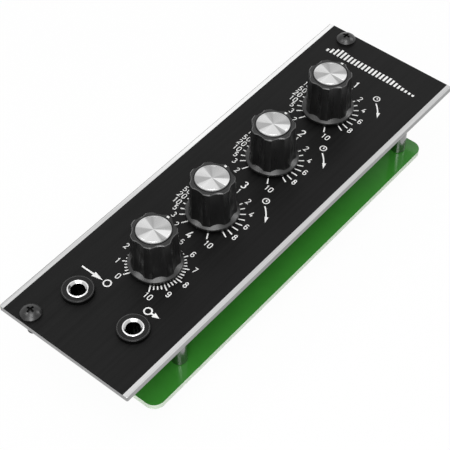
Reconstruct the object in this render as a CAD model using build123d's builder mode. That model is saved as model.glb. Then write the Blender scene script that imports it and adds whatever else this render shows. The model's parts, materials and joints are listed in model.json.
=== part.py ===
from build123d import *
import os
from math import cos, radians, sin

# A rack module lying face up: X runs across the panel, Y along it, Z out of the panel.
# The origin is under the panel's centre, on the plane that the module lies on.
# All lengths are in millimetres and all angles in degrees.

os.makedirs("parts", exist_ok=True)

# Front panel
panel_width = 40.3
panel_height = 128.5
panel_thickness = 1.5
panel_bevel = 0.1
panel_corner_radius = 0.4

# Places of the controls: the row of the first knob, of the last knob and of the jacks
top_row_drop = 28.25
level_row_rise = 32.25
jack_row_rise = 14.65
jack_pitch = 17.5
row_pitch_share = 0.3456

# Screws that hold the panel to the rack's rails, with a neck where the thread runs out
rail_end_inset = 3.0
rail_side_inset = 7.5
rail_screw_radius = 1.5
rail_screw_reach = 4.5
rail_screw_end_bevel = 0.3
rail_neck_drop = 0.25
rail_hole_gap = 0.1
rail_head_radius = 2.6
rail_head_edge = 0.7
rail_head_height = 1.9
recess_length = 2.1
recess_width = 0.6
recess_depth = 1.1

# Circuit board
board_width = 38.9
board_end_inset = 9.2
board_thickness = 1.6
board_corner_radius = 3.0
board_gap = 14.75
slot_gap = 0.1

# Spacers between the panel and the board, with their screws
standoff_side_inset = 5.15
standoff_end_inset = 4.85
standoff_jack_gap = 9.0
standoff_radius = 2.0
standoff_end_bevel = 0.25
stud_radius = 1.3
stud_depth = 0.9
stud_gap = 0.05
board_screw_radius = 1.25
board_screw_grip = 5.0
board_screw_gap = 0.05
board_hole_gap = 0.15
board_head_radius = 2.25
board_head_edge = 0.6
board_head_height = 1.5
board_recess_length = 2.4
board_recess_width = 0.6
board_recess_depth = 0.8

# Aluminium cap in the knob's top, and the white mark beside it
cap_radius = 4.35
cap_thickness = 0.9
cap_rise = 0.2
cap_bevel = 0.12
cap_recess_gap = 0.2
cap_ring_inset = 0.45
cap_ring_width = 0.12
cap_ring_depth = 0.05
mark_width = 0.7
mark_length = 0.5
mark_inset = 0.55
mark_depth = 0.3

# Knob: its rim goes round the cap, and it widens by its taper down to the skirt
knob_gap = 1.0
knob_height = 12.0
knob_rim_wall = 1.08
knob_taper = 0.49
knob_rim_bevel = 0.25
flute_count = 7
flute_depth = 0.55
flute_half_angle = 16.75
flute_corner_radius = 0.3
skirt_lip = 0.68
skirt_rim_height = 0.75
skirt_rim_round = 0.3
skirt_rise = 0.9
skirt_root = 0.6
knob_wall = 0.5
knob_hollow_depth = 1.4
knob_web = 0.8
knob_bore_gap = 0.03

# Directions of the mark and the rotor's lug, and of the stop and the first flute, at mid-turn
mark_angle = 90
stop_angle = -90

# Rotary potentiometer
pot_wall = 0.7
pot_depth = 11.0
pot_height = 6.4
pot_floor = 2.4
pot_corner_radius = 0.5
stop_gap = 0.15
stop_half_angle = 17.5
shaft_radius = 3.0
shaft_gap = 0.05
shaft_end_gap = 0.2
shaft_end_bevel = 0.3
shaft_flat = 1.5
shaft_flat_run = 0.5
shaft_hole_gap = 0.5
rotor_lip = 0.35
rotor_thickness = 1.8
rotor_gap = 0.2
lug_height = 0.45
lug_gap = 0.15
lug_root = 0.4
lug_half_angle = 12.0
journal_radius = 1.0
journal_depth = 1.2
journal_end_gap = 0.1
cover_thickness = 0.6
cover_bushing_wall = 0.5
cover_bushing_length = 4.5
leg_width = 2.0
track_width = 0.9
track_thickness = 0.3
track_half_angle = 155.0
wiper_inner_radius = 1.3
wiper_ring_width = 0.9
wiper_arm_width = 0.9
wiper_thickness = 0.25
brush_size = 0.5
brush_radius = 2.95
brush_gap = 0.08
pot_blade_width = 0.9
pot_blade_thickness = 0.4
pot_blade_pitch = 2.5
pot_blade_rise = 2.0
lead_reach = 1.0

# Jack socket
plug_bore_radius = 1.8
bushing_wall = 0.85
bushing_gap = 0.05
bushing_hole_gap = 0.1
bushing_rise = 1.35
bushing_lip_round = 0.3
bushing_mouth = 0.5
flange_lip = 0.85
flange_thickness = 0.8
flange_gap = 0.1
nut_wall = 1.4
nut_height = 1.2
nut_round = 0.25
jack_depth = 10.4
jack_height = 10.4
jack_wall = 0.9
jack_roof = 1.6
jack_corner_radius = 0.5
blade_width = 1.2
blade_thickness = 0.3
tip_blade_gap = 0.25
sleeve_blade_gap = 0.15
sleeve_tab_length = 1.5
switch_blade_width = 1.0
switch_blade_inset = 0.25
switch_gap = 0.1
leaf_thickness = 0.25
leaf_width = 3.0
leaf_roll_radius = 0.45
leaf_roll_gap = 0.2
leaf_top_gap = 0.55
leaf_offset = 0.32
leaf_tab_width = 1.4
leaf_tab_height = 0.8
leaf_tab_drop = 4.6
bump_drop = 6.0
bump_bite = 0.5
bump_rise = 1.1
bump_tail = 0.7
bump_flare = 0.9

# Keyed power connector on the rear of the board
header_width = 20.3
header_depth = 8.9
header_height = 9.0
header_floor = 2.4
header_wall = 1.2
header_key_width = 4.5
header_key_drop = 1.0
header_corner_radius = 0.3
pin_size = 0.64
pin_pitch = 2.54
pin_columns = 5
pin_recess = 0.9
pin_fit_gap = 0.02
pin_reach = 1.2

# Components on the rear of the board
can_radius = 3.0
can_height = 11.0
can_groove_radius = 2.75
can_groove_drop = 1.6
can_groove_height = 1.2
can_sleeve_wall = 0.15
can_sleeve_lip = 0.6
can_header_gap = 0.85
can_x = 10.0
film_width = 3.5
film_length = 7.2
film_height = 8.5
film_pitch = 6.0
film_edge_radius = 0.4
chip_depth = 3.9
chip_height = 1.5
chip_lift = 0.15
chip_edge_bevel = 0.25
chip_pitch = 1.27
chip_end = 0.52
chip_leg_width = 0.42
chip_leg_thickness = 0.2
chip_leg_reach = 0.55
chip_foot = 0.5
quad_chip_legs = 7
dual_chip_legs = 4
dual_chip_x = -12.0
transistor_radius = 2.3
transistor_flat = 1.3
transistor_height = 4.6
transistor_lift = 2.0
transistor_lead = 0.45
transistor_lead_pitch = 1.27
transistor_x = 12.0
transistor_pitch = 7.0
transistor_count = 4
diode_length = 4.3
diode_width = 2.6
diode_height = 2.2
diode_bevel = 0.35
diode_tab_width = 1.4
diode_tab_thickness = 0.25
diode_tab_reach = 0.4
diode_x = -13.5
diode_pitch = 4.2
resistor_length = 2.0
resistor_width = 1.25
resistor_height = 0.55
resistor_pitch_x = 3.4
resistor_pitch_y = 2.6
left_resistor_x = -13.0
right_resistor_x = 13.0

# Places along the board, as shares of its length from its middle
film_share = 0.4087
header_share = 0.218
diode_share = 0.1226
dual_chip_share = 0.0363
transistor_share = 0.0227
quad_chip_share = -0.0182
left_resistor_share = -0.109
right_resistor_share = -0.1544
second_chip_share = -0.218
timing_can_share = -0.2361

# Radii and widths worked out from the dimensions above
knob_recess_radius = cap_radius + cap_recess_gap
knob_top_radius = knob_recess_radius + knob_rim_wall
knob_base_radius = knob_top_radius + knob_taper
skirt_radius = knob_base_radius + skirt_lip
skirt_inner_radius = knob_base_radius - flute_depth - skirt_root
knob_hollow_radius = knob_base_radius - flute_depth - knob_wall
mark_radius = knob_recess_radius + mark_inset
rotor_radius = shaft_radius + rotor_lip
stop_radius = rotor_radius + stop_gap
lug_radius = stop_radius + lug_height
chamber_radius = lug_radius + lug_gap
pot_width = 2 * (chamber_radius + pot_wall)
bushing_radius = plug_bore_radius + bushing_wall
nut_radius = bushing_radius + nut_wall
flange_radius = bushing_radius + flange_lip
jack_width = 2 * (flange_radius + flange_gap + jack_wall)
board_length = panel_height - 2 * board_end_inset

# Levels, from the plane that the module lies on up to the knobs
board_rear = can_height
board_front = board_rear + board_thickness
panel_rear = board_front + board_gap
panel_front = panel_rear + panel_thickness
knob_base = panel_front + knob_gap
knob_top = knob_base + knob_height
cap_floor = knob_top + cap_rise - cap_thickness
bore_top = cap_floor - knob_web
shaft_top = bore_top - shaft_end_gap
pot_top = board_front + pot_height
cover_top = pot_top + cover_thickness
chamber_floor = board_front + pot_floor
rotor_top = pot_top - rotor_gap
rotor_bottom = rotor_top - rotor_thickness
lead_end = board_rear - lead_reach
jack_bottom = panel_rear - jack_height
jack_ceiling = panel_rear - jack_roof
flange_bottom = jack_ceiling - flange_thickness
leaf_pivot_z = flange_bottom - leaf_top_gap - leaf_roll_radius

# Places worked out from the dimensions above
top_row = panel_height / 2 - top_row_drop
level_row = level_row_rise - panel_height / 2
jack_row = jack_row_rise - panel_height / 2
row_pitch = row_pitch_share * (top_row - level_row)
control_rows = (top_row, top_row - row_pitch, top_row - 2 * row_pitch, level_row)
jack_places = {"in": -jack_pitch / 2, "out": jack_pitch / 2}
rail_x = rail_side_inset - panel_width / 2
rail_y = panel_height / 2 - rail_end_inset
rail_points = [(rail_x, side * rail_y) for side in (-1, 1)]
standoff_x = board_width / 2 - standoff_side_inset
standoff_rows = (board_length / 2 - standoff_end_inset, jack_row + standoff_jack_gap)
standoff_points = [(side * standoff_x, y) for side in (-1, 1) for y in standoff_rows]
header_row = header_share * board_length
supply_can_y = header_row + header_depth / 2 + can_header_gap + can_radius
timing_can_y = timing_can_share * board_length
can_points = [(side * can_x, y) for y in (supply_can_y, timing_can_y) for side in (-1, 1)]
tip_blade_y = jack_depth / 2 - jack_wall - tip_blade_gap - blade_thickness / 2
sleeve_blade_y = -(jack_depth / 2 - jack_wall - sleeve_blade_gap - blade_thickness / 2)
leaf_pivot_y = tip_blade_y - blade_thickness / 2 - leaf_roll_gap - leaf_roll_radius
leaf_plane_y = leaf_pivot_y - leaf_offset
bump_y = plug_bore_radius - bump_bite
bump_tail_y = bump_y + bump_flare
switch_blade_x = leaf_width / 2 + leaf_tab_width - switch_blade_inset
switch_blade_y = leaf_plane_y - leaf_thickness / 2 - switch_gap - blade_thickness / 2
pot_blade_y = -(pot_depth + pot_blade_thickness) / 2
pot_leg_x = (pot_width + cover_thickness) / 2
flute_step = 360 / flute_count


def level(x, y, z):
    """A plane parallel to the panel, with its origin at a place."""
    return Plane(origin=(x, y, z))


def upright(x, y):
    """A plane across the panel through a place, with Z as its own second axis."""
    return Plane(origin=(x, y, 0), x_dir=(1, 0, 0), z_dir=(0, -1, 0))


def sideways(x, y):
    """A plane along the panel through a place, with Y and Z as its own axes."""
    return Plane(origin=(x, y, 0), x_dir=(0, 1, 0), z_dir=(1, 0, 0))


def upright_axis(x, y):
    """The line through a place, square to the panel."""
    return Axis((x, y, 0), (0, 0, 1))


def polar(radius, angle):
    """A point at a radius and an angle from the X direction."""
    return (radius * cos(radians(angle)), radius * sin(radians(angle)))


def sector(inner_radius, outer_radius, middle, half_angle):
    """The outline of a piece of a ring, centred on an angle."""
    with BuildLine() as outline:
        start = polar(outer_radius, middle - half_angle)
        stop = polar(outer_radius, middle + half_angle)
        inner_start = polar(inner_radius, middle - half_angle)
        inner_stop = polar(inner_radius, middle + half_angle)
        ThreePointArc(start, polar(outer_radius, middle), stop)
        Line(stop, inner_stop)
        ThreePointArc(inner_stop, polar(inner_radius, middle), inner_start)
        Line(inner_start, start)
    return outline.edges()


def fluted_outline(radius):
    """The knob's section: lobes on a circle, with a shallow hollow between each two."""
    with BuildLine() as outline:
        for index in range(flute_count):
            middle = stop_angle + index * flute_step
            start = polar(radius, middle - flute_half_angle)
            stop = polar(radius, middle + flute_half_angle)
            following = polar(radius, middle + flute_step - flute_half_angle)
            ThreePointArc(start, polar(radius - flute_depth, middle), stop)
            ThreePointArc(stop, polar(radius, middle + flute_step / 2), following)
        fillet(outline.vertices(), flute_corner_radius)
    return outline.edges()


# Front panel
with BuildPart() as front_panel:
    with BuildSketch(level(0, 0, panel_rear)):
        RectangleRounded(panel_width, panel_height, panel_corner_radius)
        with Locations(*[(0, y) for y in control_rows]):
            Circle(shaft_radius + shaft_hole_gap, mode=Mode.SUBTRACT)
        with Locations(*[(x, jack_row) for x in jack_places.values()]):
            Circle(bushing_radius + bushing_hole_gap, mode=Mode.SUBTRACT)
        with Locations(*rail_points):
            Circle(rail_screw_radius + rail_hole_gap, mode=Mode.SUBTRACT)
    extrude(amount=panel_thickness)
    with BuildSketch(level(0, 0, panel_rear)):
        with Locations(*standoff_points):
            Circle(stud_radius + stud_gap)
    extrude(amount=stud_depth, mode=Mode.SUBTRACT)
    front_edges = front_panel.faces().sort_by(Axis.Z)[-1].edges().filter_by(Axis.Y)
    chamfer(front_edges, panel_bevel)

front_panel.part.label = "front_panel"
export_step(front_panel.part, "parts/front_panel.step")

# Rail screws: a domed head with a cross recess, a neck and the thread that reaches the rail's nut
rail_head_top = panel_front + rail_head_height
shank_end = panel_rear - rail_screw_reach
rail_neck_radius = rail_screw_radius - rail_neck_drop
with BuildPart() as mounting_screws:
    for x, y in rail_points:
        with BuildSketch(upright(x, y)):
            with BuildLine():
                Polyline((0, rail_head_top), (0, shank_end),
                         (rail_screw_radius - rail_screw_end_bevel, shank_end),
                         (rail_screw_radius, shank_end + rail_screw_end_bevel),
                         (rail_screw_radius, panel_rear), (rail_neck_radius, panel_rear),
                         (rail_neck_radius, panel_front), (rail_head_radius, panel_front),
                         (rail_head_radius, panel_front + rail_head_edge))
                TangentArc((rail_head_radius, panel_front + rail_head_edge), (0, rail_head_top),
                           tangent=(1, 0), tangent_from_first=False)
            make_face()
        revolve(axis=upright_axis(x, y))
    with BuildSketch(level(0, 0, rail_head_top)):
        with Locations(*rail_points):
            Rectangle(recess_length, recess_width)
            Rectangle(recess_width, recess_length)
    extrude(amount=-recess_depth, mode=Mode.SUBTRACT)

mounting_screws.part.label = "mounting_screws"
export_step(mounting_screws.part, "parts/mounting_screws.step")

# Circuit board, with a slot for each lead that goes through it
header_pin_points = [
    (column * pin_pitch, header_row + side * pin_pitch / 2)
    for column in range(-(pin_columns // 2), pin_columns // 2 + 1)
    for side in (-1, 1)
]
pot_blade_points = [
    (column * pot_blade_pitch, y + pot_blade_y) for y in control_rows for column in (-1, 0, 1)
]
pot_leg_points = [(side * pot_leg_x, y) for y in control_rows for side in (-1, 1)]
tip_points = [(x, jack_row + tip_blade_y) for x in jack_places.values()]
sleeve_points = [(x, jack_row + sleeve_blade_y) for x in jack_places.values()]
switch_points = [(x + switch_blade_x, jack_row + switch_blade_y) for x in jack_places.values()]
board_slots = [
    (header_pin_points, pin_size, pin_size),
    (pot_blade_points, pot_blade_width, pot_blade_thickness),
    (pot_leg_points, cover_thickness, leg_width),
    (tip_points + sleeve_points, blade_width, blade_thickness),
    (switch_points, switch_blade_width, blade_thickness),
]
with BuildPart() as circuit_board:
    with BuildSketch(level(0, 0, board_rear)):
        RectangleRounded(board_width, board_length, board_corner_radius)
        with Locations(*standoff_points):
            Circle(board_screw_radius + board_hole_gap, mode=Mode.SUBTRACT)
        for points, width, depth in board_slots:
            with Locations(*points):
                Rectangle(width + 2 * slot_gap, depth + 2 * slot_gap, mode=Mode.SUBTRACT)
    extrude(amount=board_thickness)

circuit_board.part.label = "circuit_board"
export_step(circuit_board.part, "parts/circuit_board.step")

# Spacers: a stud pressed into the panel at one end, a threaded bore at the other
with BuildPart() as standoffs:
    for x, y in standoff_points:
        with BuildSketch(upright(x, y)):
            with BuildLine():
                Polyline((0, board_front), (standoff_radius - standoff_end_bevel, board_front),
                         (standoff_radius, board_front + standoff_end_bevel),
                         (standoff_radius, panel_rear - standoff_end_bevel),
                         (standoff_radius - standoff_end_bevel, panel_rear),
                         (stud_radius, panel_rear), (stud_radius, panel_rear + stud_depth),
                         (0, panel_rear + stud_depth), close=True)
            make_face()
        revolve(axis=upright_axis(x, y))
    with BuildSketch(level(0, 0, board_front)):
        with Locations(*standoff_points):
            Circle(board_screw_radius + board_screw_gap)
    extrude(amount=board_screw_grip + board_head_edge, mode=Mode.SUBTRACT)

standoffs.part.label = "standoffs"
export_step(standoffs.part, "parts/standoffs.step")

# Screws through the board into the spacers
board_head_top = board_rear - board_head_height
with BuildPart() as standoff_screws:
    for x, y in standoff_points:
        with BuildSketch(upright(x, y)):
            with BuildLine():
                Polyline((0, board_head_top), (0, board_front + board_screw_grip),
                         (board_screw_radius, board_front + board_screw_grip),
                         (board_screw_radius, board_rear), (board_head_radius, board_rear),
                         (board_head_radius, board_rear - board_head_edge))
                TangentArc((board_head_radius, board_rear - board_head_edge), (0, board_head_top),
                           tangent=(1, 0), tangent_from_first=False)
            make_face()
        revolve(axis=upright_axis(x, y))
    with BuildSketch(level(0, 0, board_head_top)):
        with Locations(*standoff_points):
            Rectangle(board_recess_length, board_recess_width)
            Rectangle(board_recess_width, board_recess_length)
    extrude(amount=board_recess_depth, mode=Mode.SUBTRACT)

standoff_screws.part.label = "standoff_screws"
export_step(standoff_screws.part, "parts/standoff_screws.step")

# Controls: a fluted knob with its cap and mark, on the shaft of a potentiometer
body_base = knob_base + skirt_rim_height
wiper_arm_start = wiper_inner_radius + wiper_ring_width / 2
wiper_arm_end = brush_radius + brush_size / 2
for number, row in enumerate(control_rows, start=1):
    axis = upright_axis(0, row)

    with BuildPart() as knob:
        with BuildSketch(level(0, row, body_base)):
            make_face(fluted_outline(knob_base_radius))
        with BuildSketch(level(0, row, knob_top - knob_rim_bevel)):
            make_face(fluted_outline(knob_top_radius))
        with BuildSketch(level(0, row, knob_top)):
            make_face(fluted_outline(knob_top_radius - knob_rim_bevel))
        loft(ruled=True)
        with BuildSketch(upright(0, row)):
            with BuildLine():
                Polyline((0, knob_base), (skirt_radius, knob_base),
                         (skirt_radius, body_base), (skirt_inner_radius, body_base + skirt_rise),
                         (0, body_base + skirt_rise), close=True)
            make_face()
        revolve(axis=axis)
        rim_edges = knob.edges().filter_by(GeomType.CIRCLE).sort_by(SortBy.RADIUS)[-2:]
        fillet(rim_edges, skirt_rim_round)
        with BuildSketch(level(0, row, knob_base)):
            Circle(knob_hollow_radius)
        extrude(amount=knob_hollow_depth, mode=Mode.SUBTRACT)
        with BuildSketch(level(0, row, knob_base)):
            Circle(shaft_radius + knob_bore_gap)
            with Locations((0, shaft_flat + knob_bore_gap + shaft_radius)):
                Rectangle(2 * skirt_radius, 2 * shaft_radius, mode=Mode.SUBTRACT)
        extrude(amount=bore_top - knob_base, mode=Mode.SUBTRACT)
        with BuildSketch(level(0, row, knob_top)):
            Circle(knob_recess_radius)
        extrude(amount=cap_floor - knob_top, mode=Mode.SUBTRACT)
        with BuildSketch(level(0, row + mark_radius, knob_top)):
            Rectangle(mark_width, mark_length)
        extrude(amount=-mark_depth, mode=Mode.SUBTRACT)

    knob.part.label = f"knob_{number}"
    export_step(knob.part, f"parts/knob_{number}.step")

    with BuildPart() as knob_cap:
        with BuildSketch(level(0, row, cap_floor)):
            Circle(cap_radius)
        extrude(amount=cap_thickness)
        chamfer(knob_cap.edges().sort_by(Axis.Z)[-1], cap_bevel)
        with BuildSketch(level(0, row, cap_floor + cap_thickness)):
            Circle(cap_radius - cap_ring_inset)
            Circle(cap_radius - cap_ring_inset - cap_ring_width, mode=Mode.SUBTRACT)
        extrude(amount=-cap_ring_depth, mode=Mode.SUBTRACT)

    knob_cap.part.label = f"knob_cap_{number}"
    export_step(knob_cap.part, f"parts/knob_cap_{number}.step")

    with BuildPart() as pointer:
        with BuildSketch(level(0, row + mark_radius, knob_top)):
            Rectangle(mark_width, mark_length)
        extrude(amount=-mark_depth)

    pointer.part.label = f"pointer_{number}"
    export_step(pointer.part, f"parts/pointer_{number}.step")

    # The shaft turns in the cover's bushing, and its rotor's lug meets the stop at both ends
    with BuildPart() as pot_shaft:
        with BuildSketch(upright(0, row)):
            with BuildLine():
                Polyline((0, chamber_floor - journal_depth + journal_end_gap),
                         (journal_radius, chamber_floor - journal_depth + journal_end_gap),
                         (journal_radius, rotor_bottom), (rotor_radius, rotor_bottom),
                         (rotor_radius, rotor_top), (shaft_radius, rotor_top),
                         (shaft_radius, shaft_top - shaft_end_bevel),
                         (shaft_radius - shaft_end_bevel, shaft_top), (0, shaft_top), close=True)
            make_face()
        revolve(axis=axis)
        with BuildSketch(level(0, row, rotor_bottom)):
            make_face(sector(rotor_radius - lug_root, lug_radius, mark_angle, lug_half_angle))
        extrude(amount=rotor_thickness)
        with BuildSketch(level(0, row + shaft_flat + shaft_radius, shaft_top)):
            Rectangle(2 * shaft_radius, 2 * shaft_radius)
        extrude(amount=knob_base - shaft_flat_run - shaft_top, mode=Mode.SUBTRACT)

    pot_shaft.part.label = f"pot_shaft_{number}"
    export_step(pot_shaft.part, f"parts/pot_shaft_{number}.step")

    with BuildPart() as pot_wiper:
        with BuildSketch(level(0, row, rotor_bottom)):
            Circle(wiper_inner_radius + wiper_ring_width)
            Circle(wiper_inner_radius, mode=Mode.SUBTRACT)
            with Locations((0, (wiper_arm_start + wiper_arm_end) / 2)):
                Rectangle(wiper_arm_width, wiper_arm_end - wiper_arm_start)
        extrude(amount=-wiper_thickness)
        with BuildSketch(level(0, row + brush_radius, rotor_bottom)):
            Rectangle(brush_size, brush_size)
        extrude(amount=chamber_floor + track_thickness + brush_gap - rotor_bottom)

    pot_wiper.part.label = f"pot_wiper_{number}"
    export_step(pot_wiper.part, f"parts/pot_wiper_{number}.step")

    with BuildPart() as pot_housing:
        with BuildSketch(level(0, row, board_front)):
            RectangleRounded(pot_width, pot_depth, pot_corner_radius)
        extrude(amount=pot_height)
        with BuildSketch(level(0, row, chamber_floor)):
            Circle(chamber_radius)
            make_face(sector(stop_radius, chamber_radius + lug_root, stop_angle, stop_half_angle),
                      mode=Mode.SUBTRACT)
        extrude(amount=pot_height, mode=Mode.SUBTRACT)
        with BuildSketch(level(0, row, chamber_floor)):
            Circle(journal_radius + shaft_gap)
        extrude(amount=-journal_depth, mode=Mode.SUBTRACT)

    pot_housing.part.label = f"pot_housing_{number}"
    export_step(pot_housing.part, f"parts/pot_housing_{number}.step")

    with BuildPart() as pot_track:
        with BuildSketch(level(0, row, chamber_floor)):
            make_face(sector(brush_radius - track_width / 2, brush_radius + track_width / 2,
                             mark_angle, track_half_angle))
        extrude(amount=track_thickness)

    pot_track.part.label = f"pot_track_{number}"
    export_step(pot_track.part, f"parts/pot_track_{number}.step")

    with BuildPart() as pot_cover:
        with BuildSketch(level(0, row, pot_top)):
            Rectangle(pot_width + 2 * cover_thickness, pot_depth)
        extrude(amount=cover_thickness)
        fillet(pot_cover.edges().filter_by(Axis.Z), pot_corner_radius)
        with BuildSketch(level(0, row, pot_top)):
            with Locations((pot_leg_x, 0), (-pot_leg_x, 0)):
                Rectangle(cover_thickness, leg_width)
        extrude(amount=lead_end - pot_top)
        with BuildSketch(level(0, row, cover_top)):
            Circle(shaft_radius + shaft_gap + cover_bushing_wall)
        extrude(amount=cover_bushing_length)
        chamfer(pot_cover.edges().sort_by(Axis.Z)[-1], cover_bushing_wall / 2)
        with BuildSketch(level(0, row, pot_top)):
            Circle(shaft_radius + shaft_gap)
        extrude(amount=cover_thickness + cover_bushing_length, mode=Mode.SUBTRACT)

    pot_cover.part.label = f"pot_cover_{number}"
    export_step(pot_cover.part, f"parts/pot_cover_{number}.step")

# Solder blades of the potentiometers, flat against their housings
with BuildPart() as pot_terminals:
    with BuildSketch(level(0, 0, lead_end)):
        with Locations(*pot_blade_points):
            Rectangle(pot_blade_width, pot_blade_thickness)
    extrude(amount=board_front + pot_blade_rise - lead_end)

pot_terminals.part.label = "pot_terminals"
export_step(pot_terminals.part, "parts/pot_terminals.step")

# Jacks: a body open towards the board, clamped to the panel by its sleeve and nut
bushing_top = panel_front + bushing_rise
for name, column in jack_places.items():
    axis = upright_axis(column, jack_row)

    with BuildPart() as jack_housing:
        with BuildSketch(level(column, jack_row, jack_bottom)):
            RectangleRounded(jack_width, jack_depth, jack_corner_radius)
        extrude(amount=jack_height)
        with BuildSketch(level(column, jack_row, jack_bottom)):
            Rectangle(jack_width - 2 * jack_wall, jack_depth - 2 * jack_wall)
        extrude(amount=jack_height - jack_roof, mode=Mode.SUBTRACT)
        with BuildSketch(level(column, jack_row, jack_ceiling)):
            Circle(bushing_radius + bushing_gap)
        extrude(amount=jack_roof, mode=Mode.SUBTRACT)

    jack_housing.part.label = f"jack_housing_{name}"
    export_step(jack_housing.part, f"parts/jack_housing_{name}.step")

    with BuildPart() as jack_bushing:
        with BuildSketch(upright(column, jack_row)):
            with BuildLine():
                Polyline((plug_bore_radius, flange_bottom), (flange_radius, flange_bottom),
                         (flange_radius, jack_ceiling), (bushing_radius, jack_ceiling),
                         (bushing_radius, bushing_top), (plug_bore_radius + bushing_mouth, bushing_top),
                         (plug_bore_radius, bushing_top - bushing_mouth), close=True)
            make_face()
        revolve(axis=axis)
        lip_edges = jack_bushing.edges().group_by(Axis.Z)[-1].sort_by(SortBy.RADIUS)
        fillet(lip_edges[-1], bushing_lip_round)

    jack_bushing.part.label = f"jack_bushing_{name}"
    export_step(jack_bushing.part, f"parts/jack_bushing_{name}.step")

    with BuildPart() as jack_nut:
        with BuildSketch(level(column, jack_row, panel_front)):
            Circle(nut_radius)
            Circle(bushing_radius + bushing_gap, mode=Mode.SUBTRACT)
        extrude(amount=nut_height)
        nut_rim = jack_nut.edges().group_by(Axis.Z)[-1].sort_by(SortBy.RADIUS)
        fillet(nut_rim[-1], nut_round)

    jack_nut.part.label = f"jack_nut_{name}"
    export_step(jack_nut.part, f"parts/jack_nut_{name}.step")

    # The leaf hangs from a rolled end and has a bump that the plug pushes aside
    with BuildPart() as jack_tip_spring:
        with BuildSketch(sideways(column, jack_row)):
            with BuildLine() as leaf_line:
                Polyline((leaf_plane_y, leaf_pivot_z), (leaf_plane_y, leaf_pivot_z - bump_drop + bump_rise),
                         (bump_y, leaf_pivot_z - bump_drop),
                         (bump_tail_y, leaf_pivot_z - bump_drop - bump_tail))
            trace(line_width=leaf_thickness)
            with Locations((leaf_pivot_y, leaf_pivot_z)):
                Circle(leaf_roll_radius)
        extrude(amount=leaf_width / 2, both=True)
        with BuildSketch(level(column, jack_row, leaf_pivot_z - leaf_tab_drop)):
            with Locations((leaf_width / 2, leaf_plane_y)):
                Rectangle(2 * leaf_tab_width, leaf_thickness)
        extrude(amount=leaf_tab_height)

    jack_tip_spring.part.label = f"jack_tip_spring_{name}"
    export_step(jack_tip_spring.part, f"parts/jack_tip_spring_{name}.step")

# Fixed blades of both jacks: tip, switch and sleeve, each through the board
with BuildPart() as jack_terminals:
    with BuildSketch(level(0, 0, lead_end)):
        with Locations(*tip_points):
            Rectangle(blade_width, blade_thickness)
    extrude(amount=jack_ceiling - lead_end)
    with BuildSketch(level(0, 0, lead_end)):
        with Locations(*switch_points):
            Rectangle(switch_blade_width, blade_thickness)
    extrude(amount=leaf_pivot_z - leaf_tab_drop + leaf_tab_height - lead_end)
    with BuildSketch(level(0, 0, lead_end)):
        with Locations(*sleeve_points):
            Rectangle(blade_width, blade_thickness)
    extrude(amount=flange_bottom - lead_end)
    with BuildSketch(level(0, 0, flange_bottom)):
        with Locations(*[(x, y + (sleeve_tab_length - blade_thickness) / 2) for x, y in sleeve_points]):
            Rectangle(blade_width, sleeve_tab_length)
    extrude(amount=-blade_thickness)

jack_terminals.part.label = "jack_terminals"
export_step(jack_terminals.part, "parts/jack_terminals.step")

# Power connector: a keyed shroud open to the rear, with two rows of pins
with BuildPart() as power_header:
    with BuildSketch(level(0, header_row, board_rear)):
        RectangleRounded(header_width, header_depth, header_corner_radius)
    extrude(amount=-header_height)
    with BuildSketch(level(0, header_row, board_rear - header_floor)):
        Rectangle(header_width - 2 * header_wall, header_depth - 2 * header_wall)
    extrude(amount=header_floor - header_height, mode=Mode.SUBTRACT)
    with BuildSketch(level(0, header_row - header_depth / 2, board_rear - header_height)):
        Rectangle(header_key_width, 2 * header_wall)
    extrude(amount=header_height - header_floor - header_key_drop, mode=Mode.SUBTRACT)
    with BuildSketch(level(0, 0, board_rear)):
        with Locations(*header_pin_points):
            Rectangle(pin_size + 2 * pin_fit_gap, pin_size + 2 * pin_fit_gap)
    extrude(amount=-header_floor, mode=Mode.SUBTRACT)

power_header.part.label = "power_header"
export_step(power_header.part, "parts/power_header.step")

with BuildPart() as header_pins:
    with BuildSketch(level(0, 0, board_front + pin_reach)):
        with Locations(*header_pin_points):
            Rectangle(pin_size, pin_size)
    extrude(amount=board_rear - header_height + pin_recess - board_front - pin_reach)

header_pins.part.label = "header_pins"
export_step(header_pins.part, "parts/header_pins.step")

# Electrolytic capacitors, the tallest components, on which the module lies
can_body_radius = can_radius - can_sleeve_wall
groove_top = board_rear - can_groove_drop
groove_bottom = groove_top - can_groove_height
with BuildPart() as capacitor_cans:
    for x, y in can_points:
        with BuildSketch(upright(x, y)):
            with BuildLine():
                Polyline((0, board_rear), (can_body_radius, board_rear), (can_body_radius, groove_top))
                ThreePointArc((can_body_radius, groove_top),
                              (can_groove_radius, (groove_top + groove_bottom) / 2),
                              (can_body_radius, groove_bottom))
                Polyline((can_body_radius, groove_bottom), (can_body_radius, can_sleeve_wall),
                         (0, can_sleeve_wall), (0, board_rear))
            make_face()
        revolve(axis=upright_axis(x, y))

capacitor_cans.part.label = "capacitor_cans"
export_step(capacitor_cans.part, "parts/capacitor_cans.step")

with BuildPart() as capacitor_sleeves:
    for x, y in can_points:
        with BuildSketch(upright(x, y)):
            with BuildLine():
                Polyline((can_body_radius, groove_bottom), (can_radius, groove_bottom), (can_radius, 0),
                         (can_body_radius - can_sleeve_lip, 0),
                         (can_body_radius - can_sleeve_lip, can_sleeve_wall),
                         (can_body_radius, can_sleeve_wall), close=True)
            make_face()
        revolve(axis=upright_axis(x, y))

capacitor_sleeves.part.label = "capacitor_sleeves"
export_step(capacitor_sleeves.part, "parts/capacitor_sleeves.step")

# Box film capacitors that set the times
with BuildPart() as film_capacitors:
    with BuildSketch(level(0, film_share * board_length, board_rear)):
        with Locations((-film_pitch, 0), (0, 0), (film_pitch, 0)):
            RectangleRounded(film_width, film_length, film_edge_radius)
    extrude(amount=-film_height)
    fillet(film_capacitors.faces().sort_by(Axis.Z)[:3].edges(), film_edge_radius)

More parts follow.
